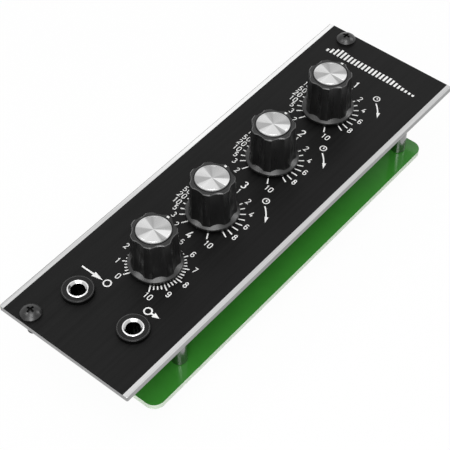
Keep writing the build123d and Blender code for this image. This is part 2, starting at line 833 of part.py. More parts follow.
film_capacitors.part.label = "film_capacitors"
export_step(film_capacitors.part, "parts/film_capacitors.step")

# Flat chips, each with a row of bent legs on both long sides
chips = [
    (0, quad_chip_share * board_length, quad_chip_legs),
    (0, second_chip_share * board_length, quad_chip_legs),
    (dual_chip_x, dual_chip_share * board_length, dual_chip_legs),
]
chip_top = board_rear - chip_lift
leg_middle = chip_top - chip_height / 2
foot_level = board_rear - chip_leg_thickness / 2
with BuildPart() as opamp_chips:
    for x, y, legs in chips:
        body_length = (legs - 1) * chip_pitch + 2 * chip_end
        with BuildSketch(level(x, y, chip_top)):
            Rectangle(body_length, chip_depth)
        extrude(amount=-chip_height)
    rear_faces = opamp_chips.faces().filter_by(Axis.Z).group_by(Axis.Z)[0]
    chamfer(rear_faces.edges(), chip_edge_bevel)
    for x, y, legs in chips:
        for index in range(legs):
            leg_x = x + (index - (legs - 1) / 2) * chip_pitch
            for side in (-1, 1):
                root = side * chip_depth / 2
                elbow = root + side * chip_leg_reach / 2
                knee = root + side * chip_leg_reach
                with BuildSketch(sideways(leg_x, y)):
                    with BuildLine():
                        Polyline((root - side * chip_edge_bevel, leg_middle), (elbow, leg_middle),
                                 (knee, foot_level), (knee + side * chip_foot, foot_level))
                    trace(line_width=chip_leg_thickness)
                extrude(amount=chip_leg_width / 2, both=True)

opamp_chips.part.label = "opamp_chips"
export_step(opamp_chips.part, "parts/opamp_chips.step")

# Small signal transistors in a row, each on three leads
transistor_row = transistor_share * board_length
transistor_points = [
    (transistor_x, transistor_row + (index - (transistor_count - 1) / 2) * transistor_pitch)
    for index in range(transistor_count)
]
with BuildPart() as signal_transistors:
    with BuildSketch(level(0, 0, board_rear - transistor_lift)):
        for x, y in transistor_points:
            with Locations((x, y)):
                Circle(transistor_radius)
            with Locations((x + transistor_flat + transistor_radius, y)):
                Rectangle(2 * transistor_radius, 2 * transistor_radius, mode=Mode.SUBTRACT)
    extrude(amount=-transistor_height)
    with BuildSketch(level(0, 0, board_rear)):
        with Locations(*transistor_points):
            with GridLocations(0, transistor_lead_pitch, 1, 3):
                Rectangle(transistor_lead, transistor_lead)
    extrude(amount=-transistor_lift)

signal_transistors.part.label = "signal_transistors"
export_step(signal_transistors.part, "parts/signal_transistors.step")

# Diodes that protect the supply: a moulded block with a flat tab at each end
diode_row = diode_share * board_length
with BuildPart() as power_diodes:
    with BuildSketch(level(diode_x, diode_row, board_rear)):
        with GridLocations(0, diode_pitch, 1, 2):
            Rectangle(diode_length, diode_width)
    extrude(amount=-diode_height)
    chamfer(power_diodes.faces().filter_by(Axis.Z).group_by(Axis.Z)[0].edges(), diode_bevel)
    with BuildSketch(level(diode_x, diode_row, board_rear)):
        with GridLocations(0, diode_pitch, 1, 2):
            Rectangle(diode_length + 2 * diode_tab_reach, diode_tab_width)
    extrude(amount=-diode_tab_thickness)

power_diodes.part.label = "power_diodes"
export_step(power_diodes.part, "parts/power_diodes.step")

# Chip resistors in two groups beside the chips
with BuildPart() as chip_resistors:
    with BuildSketch(level(left_resistor_x, left_resistor_share * board_length, board_rear)):
        with GridLocations(resistor_pitch_x, resistor_pitch_y, 2, 5):
            Rectangle(resistor_length, resistor_width)
    with BuildSketch(level(right_resistor_x, right_resistor_share * board_length, board_rear)):
        with GridLocations(resistor_pitch_x, resistor_pitch_y, 3, 2):
            Rectangle(resistor_length, resistor_width)
    extrude(amount=-resistor_height)

chip_resistors.part.label = "chip_resistors"
export_step(chip_resistors.part, "parts/chip_resistors.step")
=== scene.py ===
import json
from math import cos, pi, radians, sin

import bmesh
import bpy
from mathutils import Matrix, Vector


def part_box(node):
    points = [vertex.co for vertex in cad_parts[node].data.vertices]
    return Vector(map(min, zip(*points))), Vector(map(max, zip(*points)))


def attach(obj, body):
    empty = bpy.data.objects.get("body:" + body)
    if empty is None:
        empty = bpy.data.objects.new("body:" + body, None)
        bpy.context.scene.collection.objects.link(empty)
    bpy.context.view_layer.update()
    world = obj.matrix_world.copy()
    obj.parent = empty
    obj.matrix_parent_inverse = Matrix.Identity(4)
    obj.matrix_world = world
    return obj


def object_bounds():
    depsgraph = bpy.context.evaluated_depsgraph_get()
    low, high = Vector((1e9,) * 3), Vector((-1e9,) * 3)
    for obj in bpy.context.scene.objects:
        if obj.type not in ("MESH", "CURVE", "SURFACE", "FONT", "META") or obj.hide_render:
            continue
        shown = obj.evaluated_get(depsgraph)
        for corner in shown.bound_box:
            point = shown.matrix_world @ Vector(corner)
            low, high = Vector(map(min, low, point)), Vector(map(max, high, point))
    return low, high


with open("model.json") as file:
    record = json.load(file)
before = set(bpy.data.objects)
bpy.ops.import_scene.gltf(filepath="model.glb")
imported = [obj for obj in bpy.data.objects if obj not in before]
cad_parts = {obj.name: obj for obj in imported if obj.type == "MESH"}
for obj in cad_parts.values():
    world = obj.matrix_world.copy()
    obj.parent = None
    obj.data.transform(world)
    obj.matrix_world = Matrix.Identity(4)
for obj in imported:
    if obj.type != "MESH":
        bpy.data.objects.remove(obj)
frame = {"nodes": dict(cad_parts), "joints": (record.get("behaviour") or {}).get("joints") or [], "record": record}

# The module lies face up on a pale floor: X runs across the panel, Y along it, Z out of it.
# Lengths are in metres, written as millimetres times mm, and colours are linear.
mm = 0.001
cad_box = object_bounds()
scene = bpy.context.scene
panel_low, panel_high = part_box("front_panel")
board_low, board_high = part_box("circuit_board")
knob_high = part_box("knob_1")[1]
cap_low, cap_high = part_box("knob_cap_1")
knob_places = [Vector(joint["pos_m"]) for joint in frame["joints"] if joint["name"].startswith("knob")]
jack_low, jack_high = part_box("jack_nut_out")
jack_place = (jack_low + jack_high) / 2
ring_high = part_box("jack_bushing_out")[1]

# Panel: its bare strips, the depth of its print, the depth below its top where its cut sides are painted darker as
# painted shade, the width of the painted shade line along its long edges, and where a painted sheen makes its left
# strip brighter
bare_strip = 1.33 * mm
print_depth = 0.12 * mm
side_shade_drop = 0.05 * mm
edge_shade_width = 0.16 * mm
sheen_paint_start = -28.0 * mm
sheen_paint_end = 6.0 * mm

# Depth of the board's green faces, past which its pale edge shows
edge_band = 0.02 * mm

# Scales of the grain along X, Y and Z: fine, on pressed sheet and on a turned shaft
fine = (900.0, 900.0, 900.0)
sheet_lay = (200.0, 2000.0, 900.0)
shaft_lay = (60.0, 60.0, 3000.0)

# White print: its lowest level above the black, and the levels that keep crossing strokes apart
ink_rise = 0.02 * mm
ink_step = 0.003 * mm
ink_levels = 12

# Painted highlight line along the bevel round a knob's top, and the bevel round its cap
knob_highlight_drop = 0.16 * mm
knob_highlight_line = 0.13 * mm
cap_bevel = 0.12 * mm

# Painted shade round the sockets: black where no light gets in, and grey on the chrome mouth of each bore
socket_shade = 3.4 * mm
bore_shade = 2.2 * mm
bore_drop = 0.5 * mm
mouth_shade_radius = 2.25 * mm

# Rounded rim of the sockets' nuts, painted darker as painted shade, and the painted highlight line inside it
nut_shade_rim = 0.25 * mm
nut_highlight_line = 0.15 * mm

# Places of the components behind the board that have bare metal parts
chip_rows = (-24.0 * mm, -2.0 * mm, 4.0 * mm)
chip_half = 1.97 * mm
transistor_side = 8.0 * mm
lead_length = 2.0 * mm
diode_side = 9.0 * mm
diode_x = -13.5 * mm
diode_half = 2.17 * mm
resistor_columns = (-14.7 * mm, 9.6 * mm)
resistor_pitch = 3.4 * mm
resistor_glaze = 0.7 * mm
stripe_x = 12.7 * mm

# Dials and their digits, in millimetres and as shares of a digit's height
tick_inner = 6.3
tick_outer = 8.17
minor_outer = 7.5
tick_width = 0.33
digit_height = 1.76
digit_stroke = 0.23
digit_ratio = 0.52
digit_space = 0.38
level_label_radius = 9.43
level_start = 240
level_turn = 300
level_numbers = 11
minor_steps = 4

# Arrow beside a time dial, as a radius and directions round the dial, and the clock face before it
arrow_radius = 13.15
arrow_start = 50.7
arrow_end = 32.5
arrow_head = 5.6
arrow_line = 0.36
arrow_head_size = (1.9, 1.0)
clock_place = (7.5, 11.7)
clock_radius = 0.85
clock_line = 0.26
clock_hands = (0.55, 0.4)
hand_line = 0.22

# Number of each knob, above its dial
name_height = 2.5
name_stroke = 0.36
name_rises = (12.5, 12.5, 12.5, 12.4)

# Bars of the title
title_low = 54.43
title_high = 57.43
title_line = 0.64
title_pitch = 1.18
title_rise_shares = [0.35, 0.6, 0.85, 1.0, 0.92, 0.84, 0.78]
title_fall_shares = [0.66, 0.56, 0.47, 0.39, 0.32, 0.27, 0.23]
title_shares = title_rise_shares + [0.75] * 11 + title_fall_shares

# Marks at the sockets: a ring with an arrow that goes in, and one with an arrow that comes out.
# Each arrow has the places of its tail, of the end of its line and of its tip.
mark_level = -43.4
mark_ring = 0.95
mark_ring_line = 0.35
mark_arrow_line = 0.45
in_arrow = (-13.4, -9.4, -6.6)
in_head_size = (3.0, 1.5)
in_ring = -5.2
out_ring = 7.7
out_arrow = (8.7, 9.8, 11.2)
out_head_size = (1.8, 1.5)

# Floor, and how much of it shows as plain white
floor_half = 3.0
floor_glow = 0.96

# World: its strength as a light on the module, and as it looks
world_light = 0.15
world_look = 1.0

# Lamps: name, azimuth, elevation, distance, size and power
lamps = [
    ("main_lamp", 80, 82, 0.9, 0.6, 0.4),
    ("near_lamp", -50, 71, 0.9, 0.4, 3.0),
    ("low_lamp", -50, 41, 0.9, 0.4, 3.6),
    ("front_lamp", -80, 35, 0.9, 0.5, 1.0),
    ("left_lamp", -134, 57, 0.9, 0.25, 1.2),
    ("right_lamp", 63, 38, 0.9, 0.25, 1.2),
]

# Camera: lens and sensor in millimetres, its place in metres, and its turns in degrees
camera_lens = 109.141
camera_sensor = 36.0
camera_near = 0.01
camera_place = (0.1441301, -0.1782355, 0.2817407)
camera_turn = 39.9676
camera_dip = 49.3442
camera_roll = -0.3013

# Painted sheen of the spun caps, wedges painted lighter and darker round their middle: turns from the X direction,
# and levels
painted_sheen_steps = [(0.0, 0.84), (0.08, 0.79), (0.115, 0.4), (0.14, 0.39), (0.17, 0.46), (0.2, 0.52), (0.34, 0.47),
               (0.38, 0.38), (0.43, 0.44), (0.46, 0.71), (0.56, 0.63), (0.6, 0.39), (0.68, 0.4), (0.71, 0.66),
               (0.76, 0.76), (0.8, 0.72), (0.92, 0.71), (0.955, 0.36), (0.985, 0.44)]


def white(level):
    return (level, level, level, 1.0)


class Finish:
    """A material with one shader, and short calls that add nodes to it."""

    def __init__(self, name):
        self.material = bpy.data.materials.new(name)
        self.material.use_nodes = True
        self.tree = self.material.node_tree
        self.shader = self.tree.nodes["Principled BSDF"]
        coordinates = self.tree.nodes.new("ShaderNodeTexCoord")
        self.place = coordinates.outputs["Object"]
        self.share = coordinates.outputs["Generated"]
        self.x, self.y, self.z = self.split(self.place)

    def fill(self, socket, value):
        if isinstance(value, bpy.types.NodeSocket):
            self.tree.links.new(value, socket)
        else:
            socket.default_value = value

    def set(self, **values):
        for name, value in values.items():
            self.fill(self.shader.inputs[name.replace("_", " ")], value)

    def split(self, vector):
        node = self.tree.nodes.new("ShaderNodeSeparateXYZ")
        self.fill(node.inputs[0], vector)
        return node.outputs[0], node.outputs[1], node.outputs[2]

    def math(self, operation, first, second=0.0):
        node = self.tree.nodes.new("ShaderNodeMath")
        node.operation = operation
        self.fill(node.inputs[0], first)
        self.fill(node.inputs[1], second)
        return node.outputs[0]

    def near(self, value, centre, half):
        distance = self.math("ABSOLUTE", self.math("SUBTRACT", value, centre))
        return self.math("LESS_THAN", distance, half)

    def noise(self, scales, detail=2.0, vector=None):
        mapping = self.tree.nodes.new("ShaderNodeMapping")
        mapping.inputs["Scale"].default_value = scales
        self.fill(mapping.inputs["Vector"], self.place if vector is None else vector)
        node = self.tree.nodes.new("ShaderNodeTexNoise")
        node.inputs["Scale"].default_value = 1.0
        node.inputs["Detail"].default_value = detail
        self.fill(node.inputs["Vector"], mapping.outputs[0])
        return node.outputs["Fac"]

    def range(self, value, low, high, to_low, to_high):
        node = self.tree.nodes.new("ShaderNodeMapRange")
        self.fill(node.inputs["Value"], value)
        node.inputs["From Min"].default_value = low
        node.inputs["From Max"].default_value = high
        node.inputs["To Min"].default_value = to_low
        node.inputs["To Max"].default_value = to_high
        return node.outputs[0]

    def spread(self, noise, to_low, to_high):
        """A value between two levels that follows a noise, with its rare extremes kept in."""
        return self.range(noise, 0.3, 0.7, to_low, to_high)

    def mix(self, factor, first, second):
        node = self.tree.nodes.new("ShaderNodeMix")
        node.data_type = "RGBA"
        self.fill(node.inputs["Factor"], factor)
        self.fill(node.inputs[6], first)
        self.fill(node.inputs[7], second)
        return node.outputs[2]

    def grey(self, level):
        node = self.tree.nodes.new("ShaderNodeCombineColor")
        for socket in node.inputs[:3]:
            self.fill(socket, level)
        return node.outputs[0]

    def pick(self, factor, first, second):
        """The first value where the factor is 0 and the second where it is 1."""
        kept = self.math("MULTIPLY", first, self.math("SUBTRACT", 1.0, factor))
        return self.math("ADD", kept, self.math("MULTIPLY", second, factor))

    def metal_where(self, mask, colour, roughness):
        """Bare metal where the mask is 1, over the finish that is set already."""
        for name, value in (("Base Color", colour), ("Roughness", roughness), ("Metallic", 1.0)):
            socket = self.shader.inputs[name]
            before = socket.links[0].from_socket if socket.links else socket.default_value
            if name == "Base Color":
                self.fill(socket, self.mix(mask, before, colour))
            else:
                self.fill(socket, self.pick(mask, before, value))

    def steps(self, value, points):
        """A curve through the given places from 0 to 1, with a level at each."""
        node = self.tree.nodes.new("ShaderNodeValToRGB")
        node.color_ramp.interpolation = "EASE"
        elements = node.color_ramp.elements
        for place, level in points[2:]:
            elements.new(place)
        for element, (place, level) in zip(elements, sorted(points)):
            element.position = place
            element.color = white(level)
        self.fill(node.inputs[0], value)
        return node.outputs[0]

    def from_socket(self):
        """The distance from the nearer socket's axis."""
        across = self.math("SUBTRACT", self.math("ABSOLUTE", self.x), jack_place.x)
        along = self.math("SUBTRACT", self.y, jack_place.y)
        square = self.math("ADD", self.math("MULTIPLY", across, across), self.math("MULTIPLY", along, along))
        return self.math("SQRT", square)

    def shade(self, colour, reach, low, high):
        """The colour, but black within reach of the sockets' axes between two heights."""
        close = self.math("LESS_THAN", self.from_socket(), reach)
        level = self.near(self.z, (low + high) / 2, (high - low) / 2)
        return self.mix(self.math("MULTIPLY", close, level), colour, white(0.001))

    def bump(self, height, depth):
        node = self.tree.nodes.new("ShaderNodeBump")
        node.inputs["Distance"].default_value = depth
        self.fill(node.inputs["Height"], height)
        self.set(Normal=node.outputs[0])


def plain_finish(name, dark, light, roughness, metallic, grain, depth, level=0.5, reach=0.0):
    """A finish whose colour, gloss and surface vary with a grain of the given scales."""
    finish = Finish(name)
    grains = finish.noise(grain)
    colour = finish.mix(finish.spread(grains, 0.0, 1.0), (*dark, 1.0), (*light, 1.0))
    finish.set(Base_Color=finish.shade(colour, reach, board_high.z, ring_high.z) if reach else colour)
    finish.set(Roughness=finish.spread(grains, roughness[0], roughness[1]))
    finish.set(Metallic=metallic, Specular_IOR_Level=level)
    finish.bump(grains, depth)
    return finish


def printed_panel(name):
    """Black print on brushed aluminium that is bare along its long edges, with painted shade that darkens its
    sides and draws a line along the outer edge of each strip, dark on the left and grey on the right, and a
    painted highlight that brightens its left strip towards +Y.
    """
    finish = Finish(name)
    on_face = finish.math("GREATER_THAN", finish.z, panel_high.z - print_depth)
    printed = finish.math("MULTIPLY", on_face, finish.near(finish.x, 0.0, panel_high.x - bare_strip))
    brushing = finish.noise((1300.0, 25.0, 25.0), 3.0)
    lay = finish.noise((2600.0, 30.0, 2600.0), 2.0)
    black = finish.mix(finish.spread(brushing, 0.0, 1.0), white(0.003), white(0.006))
    bare = finish.mix(finish.spread(lay, 0.0, 1.0), white(0.48), white(0.57))
    # Painted shade: the sides are painted darker than the bare face.
    cut_side_shade = finish.mix(finish.spread(lay, 0.0, 1.0), white(0.27), white(0.38))
    on_top = finish.math("GREATER_THAN", finish.z, panel_high.z - side_shade_drop)
    inside = finish.near(finish.x, 0.0, panel_high.x - edge_shade_width)
    at_left = finish.math("LESS_THAN", finish.x, 0.0)
    # Painted highlight: the left strip is painted brighter towards +Y.
    painted_sheen = finish.math("MULTIPLY", at_left, finish.range(finish.y, sheen_paint_start, sheen_paint_end, 0.0, 1.0))
    bare = finish.mix(painted_sheen, bare, white(0.8))
    # Painted shade: a line along the outer edge of each strip, dark on the left and grey on the right.
    painted_shade_rim = finish.mix(at_left, white(0.5), white(0.05))
    bare = finish.mix(on_top, cut_side_shade, finish.mix(inside, painted_shade_rim, bare))
    finish.set(Base_Color=finish.mix(printed, bare, black), Specular_IOR_Level=0.13)
    finish.set(Metallic=finish.math("SUBTRACT", 1.0, printed))
    finish.set(Roughness=finish.spread(brushing, 0.42, 0.54))
    finish.bump(brushing, 0.01 * mm)
    return finish


def knob_black(name):
    """Moulded black, with a painted highlight line along the bevel round its top."""
    finish = Finish(name)
    streaks = finish.noise((900.0, 900.0, 60.0), 2.0)
    cloud = finish.noise((400.0, 400.0, 400.0), 2.0)
    body = finish.mix(cloud, white(0.005), white(0.009))
    # Painted highlight: a pale line along the bevel round the top.
    edge = finish.near(finish.z, knob_high.z - knob_highlight_drop, knob_highlight_line / 2)
    finish.set(Base_Color=finish.mix(edge, body, white(0.07)))
    finish.set(Roughness=finish.spread(streaks, 0.27, 0.29), Specular_IOR_Level=0.5)
    finish.bump(streaks, 0.0002 * mm)
    return finish


def spun_aluminium(name):
    """Turned rings, with the anisotropic gloss running across them, wedges of painted highlight and painted shade
    round their middle, and painted shade on the bevel round the face.
    """
    finish = Finish(name)
    across, along = finish.split(finish.share)[:2]
    across = finish.math("SUBTRACT", across, 0.5)
    along = finish.math("SUBTRACT", along, 0.5)
    radius = finish.math("SQRT", finish.math("ADD", finish.math("MULTIPLY", across, across),
                                             finish.math("MULTIPLY", along, along)))
    joined = finish.tree.nodes.new("ShaderNodeCombineXYZ")
    finish.fill(joined.inputs[0], radius)
    rings = finish.noise((90.0, 1.0, 1.0), 3.0, joined.outputs[0])
    patches = finish.noise((600.0, 600.0, 600.0), 3.0)
    turn = finish.math("DIVIDE", finish.math("ARCTAN2", along, across), 2 * pi)
    # Painted highlight and shade: wedges of lighter and darker colour with the turn round the middle.
    painted_sheen = finish.steps(finish.math("FRACT", turn), painted_sheen_steps)
    painted_sheen = finish.math("MULTIPLY", painted_sheen, finish.spread(rings, 0.95, 1.03))
    # Painted shade: the bevel and side round the face are painted dark.
    on_face = finish.math("LESS_THAN", radius, 0.5 - 1.3 * cap_bevel / (cap_high.x - cap_low.x))
    finish.set(Base_Color=finish.mix(on_face, white(0.1), finish.grey(painted_sheen)))
    finish.set(Metallic=1.0, Anisotropic=0.6)
    finish.set(Roughness=finish.pick(on_face, 0.5, finish.spread(patches, 0.22, 0.3)))
    tangent = finish.tree.nodes.new("ShaderNodeTangent")
    tangent.direction_type = "RADIAL"
    tangent.axis = "Z"
    finish.set(Tangent=tangent.outputs[0])
    finish.bump(rings, 0.01 * mm)
    return finish


def polished_steel(name):
    """Bright on the sockets, with painted shade: black inside their bores, grey where each bore opens, and dark on
    the spacers behind the panel, darker towards the panel.
    """
    finish = Finish(name)
    grains = finish.noise(fine)
    in_front = finish.math("GREATER_THAN", finish.z, panel_low.z)
    bright = finish.mix(grains, white(0.8), white(0.9))
    # Painted shade: the chrome round each bore's opening is painted grey.
    mouth_shade = finish.math("LESS_THAN", finish.from_socket(), mouth_shade_radius)
    bright = finish.mix(mouth_shade, bright, white(0.52))
    # Painted shade: the spacers are painted dark, darker towards the panel.
    spacer_shade = finish.grey(finish.range(finish.z, board_high.z, panel_low.z, 0.36, 0.12))
    metal = finish.mix(in_front, spacer_shade, bright)
    shaded = finish.shade(metal, bore_shade, board_high.z, ring_high.z - bore_drop)
    finish.set(Base_Color=shaded, Metallic=1.0)
    finish.set(Roughness=finish.spread(grains, 0.16, 0.24))
    finish.bump(grains, 0.001 * mm)
    return finish


def nut_black(name):
    """Black anodised, with a painted highlight line where the flat top meets the rounded outer band, and that band
    painted darker as painted shade.
    """
    finish = plain_finish(name, (0.0035,) * 3, (0.0065,) * 3, (0.22, 0.3), 0.0, fine, 0.004 * mm, 0.25)
    body = finish.shader.inputs["Base Color"].links[0].from_socket
    radius = finish.from_socket()
    painted_shade_rim = jack_high.x - jack_place.x - nut_shade_rim
    # Painted shade: the rounded band outside the flat top is painted darker.
    rim_shaded = finish.mix(finish.math("GREATER_THAN", radius, painted_shade_rim), body, white(0.001))
    # Painted highlight: a pale line just inside that band.
    highlight_line = finish.near(radius, painted_shade_rim - nut_highlight_line / 2, nut_highlight_line / 2)
    finish.set(Base_Color=finish.mix(highlight_line, rim_shaded, white(0.06)))
    return finish


def chip_black(name):
    """Moulded cases with tinned legs, leads and tabs."""
    finish = plain_finish(name, (0.012,) * 3, (0.028,) * 3, (0.42, 0.58), 0.0, fine, 0.01 * mm)
    case = finish.near(finish.y, chip_rows[0], chip_half)
    for row in chip_rows[1:]:
        case = finish.math("MAXIMUM", case, finish.near(finish.y, row, chip_half))
    at_leads = finish.math("GREATER_THAN", finish.x, transistor_side)
    hanging = finish.math("LESS_THAN", finish.z, board_low.z - lead_length)
    at_diodes = finish.math("GREATER_THAN", finish.y, diode_side)
    within = finish.near(finish.x, diode_x, diode_half)
    case = finish.pick(at_diodes, case, within)
    case = finish.pick(at_leads, case, hanging)
    finish.metal_where(finish.math("SUBTRACT", 1.0, case), white(0.66), 0.3)
    return finish


def resistor_black(name):
    """Glazed chips with tinned ends."""
    finish = plain_finish(name, (0.012,) * 3, (0.03,) * 3, (0.3, 0.45), 0.0, fine, 0.005 * mm)
    from_left = finish.math("SUBTRACT", finish.x, resistor_columns[0])
    from_right = finish.math("SUBTRACT", finish.x, resistor_columns[1])
    place = finish.pick(finish.math("GREATER_THAN", finish.x, 0.0), from_left, from_right)
    off_middle = finish.math("PINGPONG", place, resistor_pitch / 2)
    finish.metal_where(finish.math("GREATER_THAN", off_middle, resistor_glaze), white(0.7), 0.3)
    return finish


def can_sleeve(name):
    """A dark sleeve with the pale stripe that marks one lead."""
    finish = Finish(name)
    cloud = finish.noise((500.0, 500.0, 500.0))
    sleeve = finish.mix(cloud, (0.012, 0.016, 0.045, 1.0), (0.02, 0.026, 0.06, 1.0))
    striped = finish.math("GREATER_THAN", finish.math("ABSOLUTE", finish.x), stripe_x)
    finish.set(Base_Color=finish.mix(striped, sleeve, (0.42, 0.45, 0.5, 1.0)))
    finish.set(Roughness=finish.spread(cloud, 0.2, 0.32))
    finish.bump(cloud, 0.006 * mm)
    return finish


def board_green(name):
    """Glossy solder mask over a pale laminate that shows along the cut edge."""
    finish = Finish(name)
    middle = (board_low.z + board_high.z) / 2
    half = (board_high.z - board_low.z) / 2 - edge_band
    edge = finish.near(finish.z, middle, half)
    cloud = finish.noise((220.0, 220.0, 220.0), 3.0)
    mask = finish.mix(cloud, (0.033, 0.2, 0.023, 1.0), (0.042, 0.24, 0.029, 1.0))
    fibre = finish.noise((900.0, 900.0, 4000.0), 2.0)
    laminate = finish.mix(fibre, (0.55, 0.64, 0.52, 1.0), (0.7, 0.8, 0.66, 1.0))
    colour = finish.mix(edge, mask, laminate)
    finish.set(Base_Color=finish.shade(colour, socket_shade, board_high.z - edge_band, ring_high.z))
    finish.set(Roughness=finish.range(edge, 0.0, 1.0, 0.12, 0.6), Specular_IOR_Level=0.5)
    finish.bump(cloud, 0.03 * mm)
    return finish


def make_finishes():
    """The finish of every slot in the record."""
    finishes = {
        "printed_panel": printed_panel("printed_panel"),
        "knob_black": knob_black("knob_black"),
        "spun_aluminium": spun_aluminium("spun_aluminium"),
        "board_green": board_green("board_green"),
        "polished_steel": polished_steel("polished_steel"),
        "nut_black": nut_black("nut_black"),
        "chip_black": chip_black("chip_black"),
        "resistor_black": resistor_black("resistor_black"),
        "can_sleeve": can_sleeve("can_sleeve"),
    }
    plain = {
        "black_screw": ((0.004,) * 3, (0.008,) * 3, (0.27, 0.34), 0.0, fine, 0.003 * mm, 0.5),
        "mark_white": ((0.78, 0.78, 0.77), (0.9, 0.9, 0.89), (0.35, 0.5), 0.0, fine, 0.004 * mm),
        "pot_plastic": ((0.02, 0.02, 0.022), (0.04, 0.04, 0.042), (0.4, 0.55), 0.0, fine, 0.01 * mm),
        "pot_metal": ((0.55, 0.55, 0.53), (0.68, 0.68, 0.65), (0.25, 0.4), 1.0, sheet_lay, 0.005 * mm),
        "carbon_track": ((0.015, 0.014, 0.012), (0.03, 0.028, 0.025), (0.4, 0.55), 0.0, fine, 0.006 * mm),
        "shaft_metal": ((0.6,) * 3, (0.75,) * 3, (0.25, 0.38), 1.0, shaft_lay, 0.006 * mm),
        "contact_metal": ((0.7, 0.53, 0.25), (0.85, 0.68, 0.36), (0.2, 0.32), 1.0, fine, 0.004 * mm, 0.5,
                          socket_shade),
        "tinned_lead": ((0.62, 0.61, 0.58), (0.78, 0.77, 0.73), (0.2, 0.35), 1.0, fine, 0.008 * mm),
        "jack_plastic": ((0.012,) * 3, (0.026,) * 3, (0.4, 0.55), 0.0, fine, 0.01 * mm, 0.2),
        "header_plastic": ((0.012,) * 3, (0.026,) * 3, (0.38, 0.52), 0.0, fine, 0.01 * mm),
        "pin_gold": ((0.76, 0.54, 0.2), (0.9, 0.68, 0.3), (0.15, 0.26), 1.0, fine, 0.003 * mm),
        "can_metal": ((0.7, 0.7, 0.7), (0.85, 0.85, 0.85), (0.22, 0.34), 1.0, fine, 0.004 * mm),
        "film_case": ((0.42, 0.27, 0.03), (0.55, 0.37, 0.05), (0.35, 0.5), 0.0, fine, 0.01 * mm),
    }
    for name, values in plain.items():
        finishes[name] = plain_finish(name, *values)
    return finishes


def dress_nodes(finishes):
    """The finish of its slot for every node."""
    for part in frame["record"]["subparts"]:
        node = frame["nodes"][part["node"]]
        node.material_slots[0].material = finishes[part["material_slot"]].material


# Strokes of the print: lines of points in millimetres, drawn as flat bands of one width
def arc(centre, radii, start, end, steps=12):
    """Points along a part of an ellipse, between two directions in degrees."""
    angles = [radians(start + (end - start) * step / steps) for step in range(steps + 1)]
    return [(centre[0] + radii[0] * cos(angle), centre[1] + radii[1] * sin(angle)) for angle in angles]


# Digits one unit high and about half a unit wide, along the middle of their strokes
six = [arc((0.26, 0.74), (0.26, 0.26), 25, 180) + [(0.0, 0.3)], arc((0.26, 0.28), (0.26, 0.28), 0, 360, 20)]
digits = {
    "0": [arc((0.26, 0.74), (0.26, 0.26), 0, 180) + arc((0.26, 0.26), (0.26, 0.26), 180, 360)
          + [(0.52, 0.74)]],
    "1": [[(0.18, 0.84), (0.36, 1.0), (0.36, 0.0)]],
    "2": [arc((0.26, 0.73), (0.26, 0.27), 165, -38) + [(0.02, 0.0), (0.54, 0.0)]],
    "3": [arc((0.25, 0.76), (0.23, 0.24), 150, -80), arc((0.25, 0.27), (0.26, 0.27), 84, -150)],
    "4": [[(0.32, 1.0), (0.0, 0.26), (0.54, 0.26)], [(0.38, 0.5), (0.38, 0.0)]],
    "5": [[(0.44, 1.0), (0.08, 1.0), (0.05, 0.53)] + arc((0.25, 0.3), (0.26, 0.3), 128, -150)],
    "6": six,
    "7": [[(0.0, 1.0), (0.52, 1.0), (0.2, 0.0)]],
    "8": [arc((0.26, 0.77), (0.22, 0.23), 0, 360, 20), arc((0.26, 0.27), (0.26, 0.27), 0, 360, 20)],
    "9": [[(0.52 - x, 1.0 - y) for x, y in line] for line in six],
}


def number_strokes(text, centre, height=digit_height, stroke=digit_stroke):
    """The strokes of a number whose middle is at centre."""
    size = height - stroke
    step = size * digit_ratio + height * digit_space - stroke / 2
    width = step * (len(text) - 1) + size * digit_ratio
    strokes = []
    for place, digit in enumerate(text):
        left = centre[0] - width / 2 + place * step
        for line in digits[digit]:
            strokes.append([(left + size * x, centre[1] - size / 2 + size * y) for x, y in line])
    return strokes


def polar(centre, radius, angle):
    """The point at a distance and a direction from the centre."""
    return (centre[0] + radius * cos(radians(angle)), centre[1] + radius * sin(radians(angle)))


def add_band(mesh, points, width, level):
    """A flat band along the points, its joints mitred and its ends square."""
    path = [Vector(point) for point in points]
    closed = (path[0] - path[-1]).length < width / 20
    if closed:
        path.pop()
    rows = []
    for place, point in enumerate(path):
        before = path[place - 1] if place or closed else None
        after = path[(place + 1) % len(path)] if place + 1 < len(path) or closed else None
        runs = [run.normalized() for run in (before and point - before, after and after - point) if run]
        along = sum(runs, Vector((0, 0))).normalized()
        side = Vector((-along.y, along.x)) * width / 2 / max(along.dot(runs[0]), 0.5)
        ends = (point - side, point + side)
        rows.append([mesh.verts.new((end.x * mm, end.y * mm, level)) for end in ends])
    for place in range(len(rows) if closed else len(rows) - 1):
        low, high = rows[place], rows[(place + 1) % len(rows)]
        mesh.faces.new((low[0], high[0], high[1], low[1]))


def add_head(mesh, tip, angle, length, width, level):
    """A solid arrow head that points along the angle."""
    along = Vector((cos(radians(angle)), sin(radians(angle))))
    side = Vector((-along.y, along.x)) * width / 2
    end = Vector(tip)
    corners = [end, end - along * length + side, end - along * length - side]
    mesh.faces.new([mesh.verts.new((corner.x * mm, corner.y * mm, level)) for corner in corners])


def finish_piece(name, mesh, finish):
    """An object from the mesh, which rides on the module."""
    data = bpy.data.meshes.new(name)
    mesh.to_mesh(data)
    mesh.free()
    piece = bpy.data.objects.new(name, data)
    scene.collection.objects.link(piece)
    data.materials.append(finish.material)
    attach(piece, "module")


def print_level(place):
    """Strokes that cross lie at levels of their own."""
    return panel_high.z + ink_rise + place % ink_levels * ink_step


